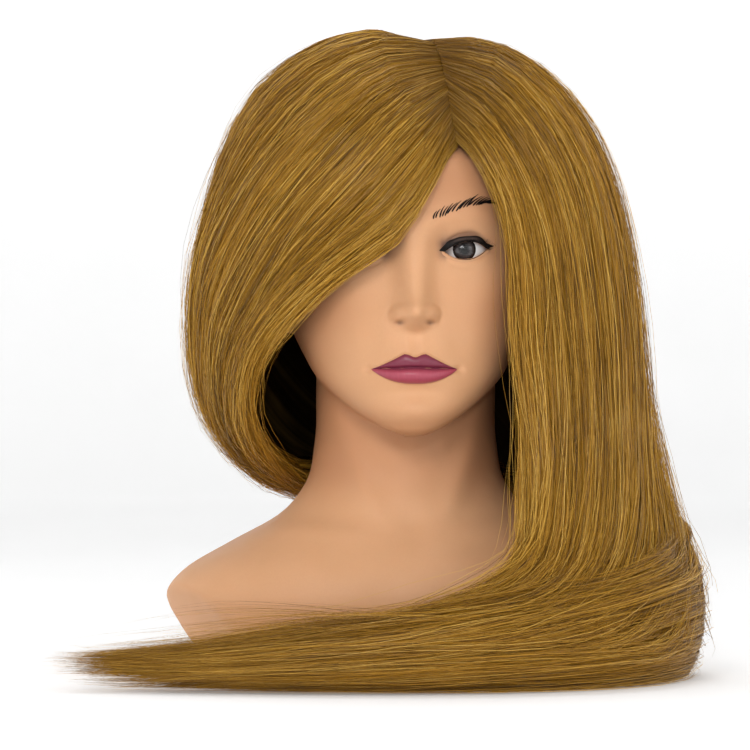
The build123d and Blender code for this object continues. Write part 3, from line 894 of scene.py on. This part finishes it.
# Behind the neck, from the right to where the lengths join the gathered hair
NAPE = [(-20, 73, 108), (22, 84, 104), (62, 84, 98), (100, 72, 92)]


def round_nape(rise):
    """The way behind the neck, raised."""
    return [(x, y, z + rise) for x, y, z in NAPE]


# From the parting across the forehead, down the right side and in under the jaw; front edge first
SWEEP = [
    [(26, -80, 304), (17, -89, 288), (5, -96, 267.5), (-12, -99, 243.5), (-42, -93, 223),
     (-70, -69, 196), (-86, -45, 172), (-89, -30, 153), (-84, -10, 134), (-56, 39, 110), *round_nape(8)],
    [(22, -69, 320), (5, -97, 288), (-17, -103, 261), (-47, -97, 236), (-72, -80, 212), (-90, -58, 185),
     (-95, -38, 157), (-90, -16, 134), (-56, 41, 109), *round_nape(4)],
    [(21, -50, 336), (-8, -88, 312), (-39, -97, 278), (-66, -86, 248), (-87, -65, 215), (-101, -43, 185),
     (-103, -25, 157), (-96, -5, 133), (-56, 44, 108), *round_nape(0)],
    [(20, -28, 347), (-15, -62, 338), (-49, -80, 310), (-77, -73, 278), (-97, -55, 246), (-110, -35, 213),
     (-113, -22, 182), (-111, -9, 157), (-100, 5, 133), (-56, 47, 107), *round_nape(-4)],
    [(17, -8, 353), (-19, -34, 356), (-54, -52, 338), (-82, -48, 311), (-103, -34, 275), (-116, -19, 239),
     (-120, -8, 208), (-119, 0, 180), (-113, 8, 152), (-83, 26, 115), (-56, 50, 106), *round_nape(-8)],
    [(14, 9, 357), (-18, 1, 366), (-50, -3, 358), (-84, -4, 335), (-102, -1, 305), (-114, 5, 268),
     (-123, 14, 221), (-123, 18, 180), (-116, 20, 153), (-84, 36, 114), (-56, 53, 105), *round_nape(-12)],
]
# From the parting down beside the left cheek and on to the chest; inner edge first
CURTAIN = [
    [(26, -80, 304), (32, -89, 289), (46, -86, 263), (53, -79, 237), (54, -76, 200), (58, -79, 165),
     (60, -87, 134), (56, -99, 104), (52, -112, 70), *along_hank(8, 352, 1.0)],
    [(24, -66, 321), (38, -94, 299), (53, -98, 272), (62, -95, 235), (65, -90, 185), (68, -92, 150),
     (68, -104, 104), (60, -119, 72), *along_hank(8, 14, 1.04)],
    [(22, -46, 338), (43, -84, 318), (63, -96, 286), (76, -94, 248), (84, -88, 190), (86, -89, 143),
     (83, -107, 95), (72, -123, 62), *along_hank(8, 34, 1.07)],
    [(20, -26, 348), (47, -60, 341), (71, -78, 314), (90, -80, 276), (100, -75, 225), (106, -70, 168),
     (106, -84, 112), (97, -108, 72), (70, -127, 46), *along_hank(8, 54, 1.08)],
    [(17, -6, 353), (48, -33, 355), (76, -53, 333), (97, -58, 304), (113, -55, 262), (121, -49, 205),
     (122, -54, 147), (121, -74, 96), (105, -106, 54), *along_hank(7, 72, 1.08)],
    [(14, 9, 357), (40, 1, 362), (68, -7, 350), (97, -15, 321), (117, -20, 277), (129, -22, 220),
     (133, -24, 170), (134, -38, 118), (135, -66, 68), *along_hank(6, 88, 1.07)],
    [(13, 12, 357), (43, 18, 362), (76, 22, 347), (103, 24, 315), (121, 24, 272), (131, 24, 220),
     (137, 14, 165), (145, -12, 112), (150, -48, 62), *along_hank(5, 104, 1.06)],
    [(12, 16, 357), (44, 28, 362), (82, 44, 344), (110, 54, 311), (125, 58, 262), (132, 54, 205),
     (141, 34, 150), (152, -2, 96), (157, -36, 50), *along_hank(5, 120, 1.05)],
]
# From the crown round the back, right side first, all brought over the left shoulder
BACK = [
    [(13, 8, 356), (-18, -2, 363), (-51, -5, 354), (-83, -5, 331), (-102, 0, 300), (-114, 8, 245),
     (-118, 14, 195), (-112, 20, 158), (-94, 44, 120), (-50, 84, 98), (0, 104, 96), (60, 104, 98),
     *along_hank(1, 335)],
    [(12, 14, 357), (-20, 21, 365), (-50, 28, 357), (-80, 38, 334), (-106, 48, 280), (-114, 57, 210),
     (-108, 64, 162), (-74, 88, 118), (0, 108, 104), (60, 104, 100), *along_hank(1, 315)],
    [(10, 22, 357), (-18, 48, 361), (-50, 66, 345), (-76, 82, 314), (-97, 96, 255), (-92, 99, 202),
     (-45, 110, 144), (40, 112, 112), *along_hank(1, 290)],
    [(7, 28, 357), (-8, 62, 359), (-32, 92, 336), (-52, 112, 300), (-63, 123, 240), (-50, 125, 193),
     (10, 124, 138), (70, 112, 106), *along_hank(1, 240)],
    [(4, 32, 357), (4, 70, 358), (-1, 103, 334), (-6, 123, 300), (-4, 134, 245), (22, 131, 186),
     (70, 118, 128), *along_hank(1, 200)],
    [(3, 34, 357), (16, 74, 358), (36, 108, 330), (62, 124, 290), (86, 123, 240), (106, 108, 185),
     (126, 90, 130), *along_hank(2, 160)],
    [(6, 32, 357), (30, 72, 358), (62, 100, 333), (89, 114, 296), (112, 117, 240), (126, 97, 172),
     (142, 68, 118), *along_hank(3, 115)],
    [(10, 27, 357), (42, 63, 362), (80, 87, 338), (108, 100, 300), (125, 99, 230), (133, 82, 168),
     (148, 28, 108), *along_hank(4, 68)],
    [(12, 19, 357), (45, 34, 362), (84, 55, 342), (112, 67, 306), (127, 70, 250), (132, 60, 185),
     (138, 18, 120), (147, -34, 82), *along_hank(5, 34)],
    [(13, 14, 356), (43, 20, 359), (80, 30, 341), (106, 38, 308), (120, 40, 254), (127, 34, 190),
     (134, 4, 128), (143, -44, 86), *along_hank(5, 22)],
]

WHORL = np.array([9, 22, 357.0])        # where the hair of the crown turns out from


def crown_guides():
    """Short guides that start across the whorl and lie over the tops of the other flows."""
    ring = SWEEP[4:] + BACK + CURTAIN[:3:-1]
    return [[tuple(1.3 * WHORL - 0.3 * np.array(g[0])), *g[1:5]] for g in ring]


ALONG, ACROSS = 150, 72                 # points of a flow's table
TINT_BANDS = 23                         # broad lighter and darker streaks across a flow
HEAD_MIDDLE = np.array([4, 10, 238.0])


def on_scalp(point):
    """The place on the scalp under a point, lifted a little, more at the crown."""
    way = unit(np.asarray(point, float) - SKULL_CENTRE)
    place = outermost(skin_distance, SKULL_CENTRE[None, :], way[None, :], 140)[0]
    return tuple(place + way * (2.4 + 4.0 * ramp(place[2], 342, 355)))


class Flow:
    """A sheet of hair through its guides: u across 0 to 1, v from root to tip, w from outside in."""

    def __init__(self, guides, depths, overlap=0.0):
        roots = [on_scalp(np.add(g[0], (overlap, 0, 0))) for g in guides]
        lines = np.array([evenly([root, *g[1:]], ALONG) for root, g in zip(roots, guides)])
        self.grid = through(np.linspace(0, 1, len(guides)), lines, np.linspace(0, 1, ACROSS))
        across = np.gradient(self.grid, axis=0)
        ahead = np.gradient(self.grid, axis=1)
        normal = unit(np.cross(across, ahead))
        top = slice(0, ALONG // 3)
        outward = (normal[:, top] * (self.grid[:, top] - HEAD_MIDDLE)).sum()
        self.normal = normal * np.sign(outward)
        self.depth = np.interp(np.linspace(0, 1, ALONG), *zip(*depths))

    def read(self, table, u, v):
        """table's values at u and v, straight between its points."""
        a = np.clip(u, 0, 1) * (ACROSS - 1)
        b = np.clip(v, 0, 1) * (ALONG - 1)
        i, j = np.minimum(a.astype(int), ACROSS - 2), np.minimum(b.astype(int), ALONG - 2)
        p, q = (a - i)[..., None], (b - j)[..., None]
        return ((table[i, j] * (1 - p) + table[i + 1, j] * p) * (1 - q)
                + (table[i, j + 1] * (1 - p) + table[i + 1, j + 1] * p) * q)

    def place(self, u, v, w):
        """Points of the sheet at u, v and w, and its outward normals there."""
        normal = unit(self.read(self.normal, u, v))
        depth = np.interp(v, np.linspace(0, 1, ALONG), self.depth)
        return self.read(self.grid, u, v) - normal * (depth * w)[..., None], normal


def waves(rng, count, along, slowest, fastest, parts=3):
    """Smooth wandering, about 1 tall, one row for each strand."""
    total = np.zeros((count, along.shape[-1]))
    for _ in range(parts):
        rate = rng.uniform(slowest, fastest, (count, 1))
        phase = rng.uniform(0, 2 * math.pi, (count, 1))
        total += np.sin(2 * math.pi * rate * along + phase)
    return total / math.sqrt(parts)


def strand_lines(flow, rng, count, steps, depth=(0, 1), reach=(0.86, 1.0), start=(0, 0.01),
                 wander=1.0, locks=240, u_range=(0, 1), peel=0.0):
    """Strands of a flow, gathered in locks: points, outward normals, each strand's tint.

    peel lifts the strands off the flow towards their tips.
    """
    lock = rng.integers(0, locks, count)
    lock_u, lock_w = rng.uniform(*u_range, locks), rng.uniform(*depth, locks)
    spread = (u_range[1] - u_range[0]) / locks * 1.5
    u = np.clip(lock_u[lock] + rng.normal(0, spread, count), *u_range)
    w = np.clip(lock_w[lock] + rng.normal(0, 0.10, count), *depth)
    t = np.linspace(0, 1, steps)[None, :]
    first = rng.uniform(*start, (count, 1))
    last = reach[0] + (reach[1] - reach[0]) * rng.beta(1.3, 3.6, (count, 1))
    v = first + (last - first) * t
    gather = 0.30 * ramp(v, 0.08, 0.8)
    lock_wave_u = waves(rng, locks, t, 0.5, 1.6)[lock]
    lock_wave_w = waves(rng, locks, t, 0.5, 1.6)[lock]
    ease = ramp(v, 0.0, 0.2)
    drift = rng.normal(0, 0.035, (count, 1)) * (v - 0.3)
    u_path = u[:, None] + (lock_u[lock][:, None] - u[:, None]) * gather + drift * ease
    u_path = u_path + 0.004 * wander * lock_wave_u * ease
    w_path = np.clip(w[:, None] + 0.08 * wander * lock_wave_w * ease, min(depth[0], 0), 1.0)
    w_path = w_path - peel * ramp(v, 0.55, 0.9) * rng.uniform(0.1, 1, (count, 1))
    points, normal = flow.place(np.clip(u_path, *u_range), v, w_path)
    ahead = unit(np.gradient(points, axis=1))
    side = unit(np.cross(ahead, normal))
    slow = waves(rng, count, t, 0.6, 2.4) * wander * (0.9 + 2.2 * ramp(v, 0.86, 1.0))
    fine = waves(rng, count, t, 3.0, 7.0) * 0.16 * wander
    lift = waves(rng, count, t, 0.8, 3.0) * 0.5 * wander
    points = points + side * ((slow + fine) * ease)[..., None] + normal * (lift * ease)[..., None]
    points[..., 2] = np.maximum(points[..., 2], 0.8)
    lock_tint = rng.normal(0.50, 0.13, locks)[lock]
    bands = np.interp(u, np.linspace(0, 1, TINT_BANDS), rng.normal(0, 0.13, TINT_BANDS))
    golden = 0.16 * np.exp(-(u / 0.16) ** 2)
    # strands deeper in the flow get a darker tint: painted shade inside the hair
    tint = lock_tint + bands + golden + rng.normal(0, 0.22, count) - 0.22 * w
    tint = np.clip(tint, 0.02, 0.98)
    return points, normal, tint


def strand_mesh(name, lines, radius, material, rng, nodes_replaced=()):
    """Tapered fibres as one piece of narrow strips, each rolled its own way."""
    points, normal, tint = lines
    count, steps = points.shape[:2]
    ahead = unit(np.gradient(points, axis=1))
    side = unit(np.cross(ahead, normal))
    out = np.cross(side, ahead)
    t = np.linspace(0, 1, steps)
    size = radius * np.interp(t, [0, 0.06, 0.75, 1], [0.7, 1, 0.9, 0.15])[None, :, None]
    roll = rng.normal(0, 0.8, (count, 1, 1)) + 0.3 * waves(rng, count, t[None, :], 0.5, 2.0)[..., None]
    across = (np.cos(roll) * side + np.sin(roll) * out) * size
    strips = np.stack([points - across, points + across], 2)
    strips[..., 2] = np.maximum(strips[..., 2], 0.3)
    faces = repeated(grid_faces(steps, 2), count, steps * 2)
    spot = grid_uv(steps, 2)
    tint_across = tint[:, None] + (spot[None, :, 0] - 0.5) * 0.02
    uv = np.stack(np.broadcast_arrays(tint_across, spot[None, :, 1]), -1)
    piece = mesh_piece(name, strips, faces, material, uv=uv)
    if nodes_replaced:
        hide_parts(*nodes_replaced)


def under_sheet(name, flow, w, material, reach=1.0):
    """The mass of hair under the loose strands, as one lofted sheet."""
    rows, columns = 60, 120
    u, v = np.meshgrid(np.linspace(0, 1, rows), np.linspace(0, reach, columns), indexing="ij")
    points, _ = flow.place(u, v, np.full(u.shape, w))
    points[..., 2] = np.maximum(points[..., 2], 1.5)
    piece = mesh_piece(name, points, grid_faces(rows, columns), material,
                       uv=grid_uv(rows, columns)[:, ::-1])


FACES_PER_PIECE = 95000                 # four-sided faces


def make_hair():
    """Three flows, each with its under-sheets, main strands and single hairs, and the crown."""
    rng = np.random.default_rng(21)
    fibre = hair_material("hair_fibre")
    # darker copies of the fibre: painted shade for the sheet under the strands, and near black painted
    # shade for the sheet inside it
    deep = hair_material("hair_under_shaded", dim=0.36)
    dark = hair_material("hair_inside_shaded", dim=0.10)
    share = 1.0
    sweep = Flow(SWEEP, [(0, 1), (0.12, 6), (0.5, 12), (0.7, 12), (1, 12)], 3.5)
    curtain = Flow(CURTAIN, [(0, 1), (0.1, 6), (0.4, 12), (0.6, 16), (0.8, 12), (1, 4)], -3.5)
    back = Flow(BACK, [(0, 1), (0.1, 8), (0.4, 14), (0.7, 10), (1, 3)])
    # name, flow, strands, steps, where the under-sheet ends, where the lining ends, CAD nodes
    plans = [
        ("sweep", sweep, 17000, 24, 0.9, 0.88,
         ["hair_fringe", "hair_right_side", "hair_right_curl", "hair_nape_wrap"]),
        ("curtain", curtain, 22000, 31, 0.80, 0.38,
         ["hair_face_curtain", "hair_left_drape", "hair_front_hank", "hair_tips"]),
        ("back", back, 18000, 31, 0.80, 0.38,
         ["hair_left_side", "hair_back_right", "hair_back_left", "hair_back_fall", "hair_shoulder_hank"]),
    ]
    # single hairs of each flow: name, count, depth, wander, part of the flow's width, radius
    singles = [
        ("loose", 420, (-0.3, 0.1), 3.6, (0, 1), 0.13),
        ("edge", 200, (-0.15, 0.5), 2.2, (0, 0.05), 0.10),
        ("stray", 140, (-0.55, -0.05), 4.5, (0, 1), 0.11),
        ("wisps", 14, (-0.8, -0.1), 6.0, (0, 0.12), 0.08),
    ]
    for name, flow, count, steps, mass_end, lining_end, replaced in plans:
        # the under-sheet and the lining carry the darker copies: painted shade inside the hair
        under_sheet(f"hair_{name}_mass", flow, 0.62, deep, mass_end)
        under_sheet(f"hair_{name}_lining", flow, 1.2, dark, lining_end)
        batch = FACES_PER_PIECE // (steps - 1)
        left, number = round(count * share), 1
        while left > 0:
            lines = strand_lines(flow, rng, min(left, batch), steps, reach=(mass_end + 0.02, 1.0))
            strand_mesh(f"hair_{name}_{number}", lines, 0.18, fibre, rng, replaced)
            left -= batch
            number += 1
        for kind, few, depth, wander, u_range, radius in singles:
            lines = strand_lines(flow, rng, few, steps, depth, wander=wander, locks=few, u_range=u_range)
            strand_mesh(f"hair_{name}_{kind}", lines, radius, fibre, rng)
    lines = strand_lines(curtain, rng, 130, 40, (0, 0.3), reach=(0.78, 1.0), wander=4.0, locks=130,
                         u_range=(0, 0.4), peel=2.4)
    strand_mesh("hair_chest_stray", lines, 0.11, fibre, rng)
    crown = Flow(crown_guides(), [(0, 1), (0.3, 3), (1, 5)])
    lines = strand_lines(crown, rng, round(3600 * share), 14, depth=(-0.5, 0.6), reach=(0.45, 1.0))
    strand_mesh("hair_crown", lines, 0.18, fibre, rng)


# ---- hardware -------------------------------------------------------------------------------
def dress_hardware():
    """The base plate, socket and screws stay the CAD nodes, with their own materials."""
    plate = moulded_material("base_moulding", (34, 34, 37), 0.45)
    socket = moulded_material("socket_moulding", (26, 26, 29), 0.38)
    steel = steel_material()
    for name, material in (("base_plate", plate), ("stand_socket", socket),
                           ("base_screws", steel), ("socket_screws", steel)):
        mesh = nodes[name].data
        mesh.materials.clear()
        mesh.materials.append(material)


# ---- studio ---------------------------------------------------------------------------------
LENS_MM, SENSOR_MM = 185.3, 36.0
CAMERA_TURN = math.radians(2.7)         # towards the mannequin's right
CAMERA_FAR, CAMERA_HEIGHT, CAMERA_ASIDE = 2.2, 0.171, -0.0177
FLOOR_SPAN, FLOOR_CURVE, WALL_TOP = 3.2, 1.0, 3.6


def make_camera():
    data = bpy.data.cameras.new("camera")
    data.lens, data.sensor_width = LENS_MM, SENSOR_MM
    camera = bpy.data.objects.new("camera", data)
    bpy.context.scene.collection.objects.link(camera)
    c, s = math.cos(CAMERA_TURN), math.sin(CAMERA_TURN)
    camera.location = (-CAMERA_FAR * s + CAMERA_ASIDE * c,
                       -CAMERA_FAR * c - CAMERA_ASIDE * s, CAMERA_HEIGHT)
    camera.rotation_euler = (math.pi / 2, 0, -CAMERA_TURN)
    bpy.context.scene.camera = camera


def area_light(name, place, aim, size, power):
    """A white round light at place that faces aim."""
    data = bpy.data.lights.new(name, "AREA")
    data.shape, data.size, data.energy = "DISK", size, power
    light = bpy.data.objects.new(name, data)
    bpy.context.scene.collection.objects.link(light)
    light.location = place
    way = np.array(aim, float) - np.array(place, float)
    tip = math.atan2(math.hypot(way[0], way[1]), -way[2])
    light.rotation_euler = (tip, 0, math.atan2(-way[0], way[1]))


def make_studio():
    """Soft white lights over a round white floor that curves up at its edge all the way round."""
    world = bpy.data.worlds.new("studio")
    world.use_nodes = True
    sky = world.node_tree.nodes["Background"]
    sky.inputs["Color"].default_value = (1, 1, 1, 1)
    sky.inputs["Strength"].default_value = 0.3
    bpy.context.scene.world = world
    area_light("key", (-0.45, -2.1, 1.15), (0, 0, 0.18), 0.7, 15)
    area_light("sparkle", (0.12, -2.1, 0.75), (0, 0, 0.2), 0.10, 3.2)
    area_light("fill", (1.4, -1.6, 0.6), (0, 0, 0.18), 1.0, 3.2)
    area_light("top", (0.0, 0.3, 1.9), (0, 0, 0.2), 1.2, 9)
    # the floor's section, as radius and height in metres, turned about the middle
    profile = [(0.001, 0.0), (0.5, 0.0), (1.5, 0.0), (FLOOR_SPAN, 0.0)]
    profile += [(FLOOR_SPAN + FLOOR_CURVE * math.sin(a), FLOOR_CURVE * (1 - math.cos(a)))
                for a in np.linspace(0.1, math.pi / 2, 14)]
    profile += [(FLOOR_SPAN + FLOOR_CURVE, WALL_TOP)]
    around = np.radians(np.arange(0, 360, 3.75))
    points = [(r / MM * math.cos(a), r / MM * math.sin(a), z / MM - 0.2)
              for r, z in profile for a in around]
    paper = Shader("paper", Roughness=0.9, Specular_IOR_Level=0.1, Emission_Strength=0.18)
    paper.surface.inputs["Emission Color"].default_value = (1, 1, 1, 1)
    shade = paper.colours(paper.noise(3.0), [(0.4, (0.95, 0.95, 0.95, 1)), (0.6, (0.97, 0.97, 0.97, 1))])
    parts = paper.node("SeparateXYZ")
    paper.link(paper.places(), parts.inputs[0])
    glow = paper.between(parts.outputs["Z"], 0.0, 1.0, 0.18, 0.36)       # brighter up the wall
    white = paper.finish(Base_Color=shade, Emission_Strength=glow)
    floor = mesh_piece("floor", points, grid_faces(len(profile), len(around), True), white)
    floor.parent = None
    del floor["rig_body"]
    bpy.context.scene.view_settings.view_transform = "Standard"


# ---- everything -----------------------------------------------------------------------------
skin = skin_material()
make_skin(skin)
make_foam(moulded_material("foam", (226, 216, 188), 0.8))
make_scalp(scalp_material())
make_lips(lip_material())
ink = ink_material()
for hand in (1, -1):
    make_lids(hand, skin)
    make_eye(hand)
    make_liner(hand, ink)
    make_lashes(hand, ink)
    make_brow(hand, ink)
make_hair()
dress_hardware()
make_studio()
make_camera()
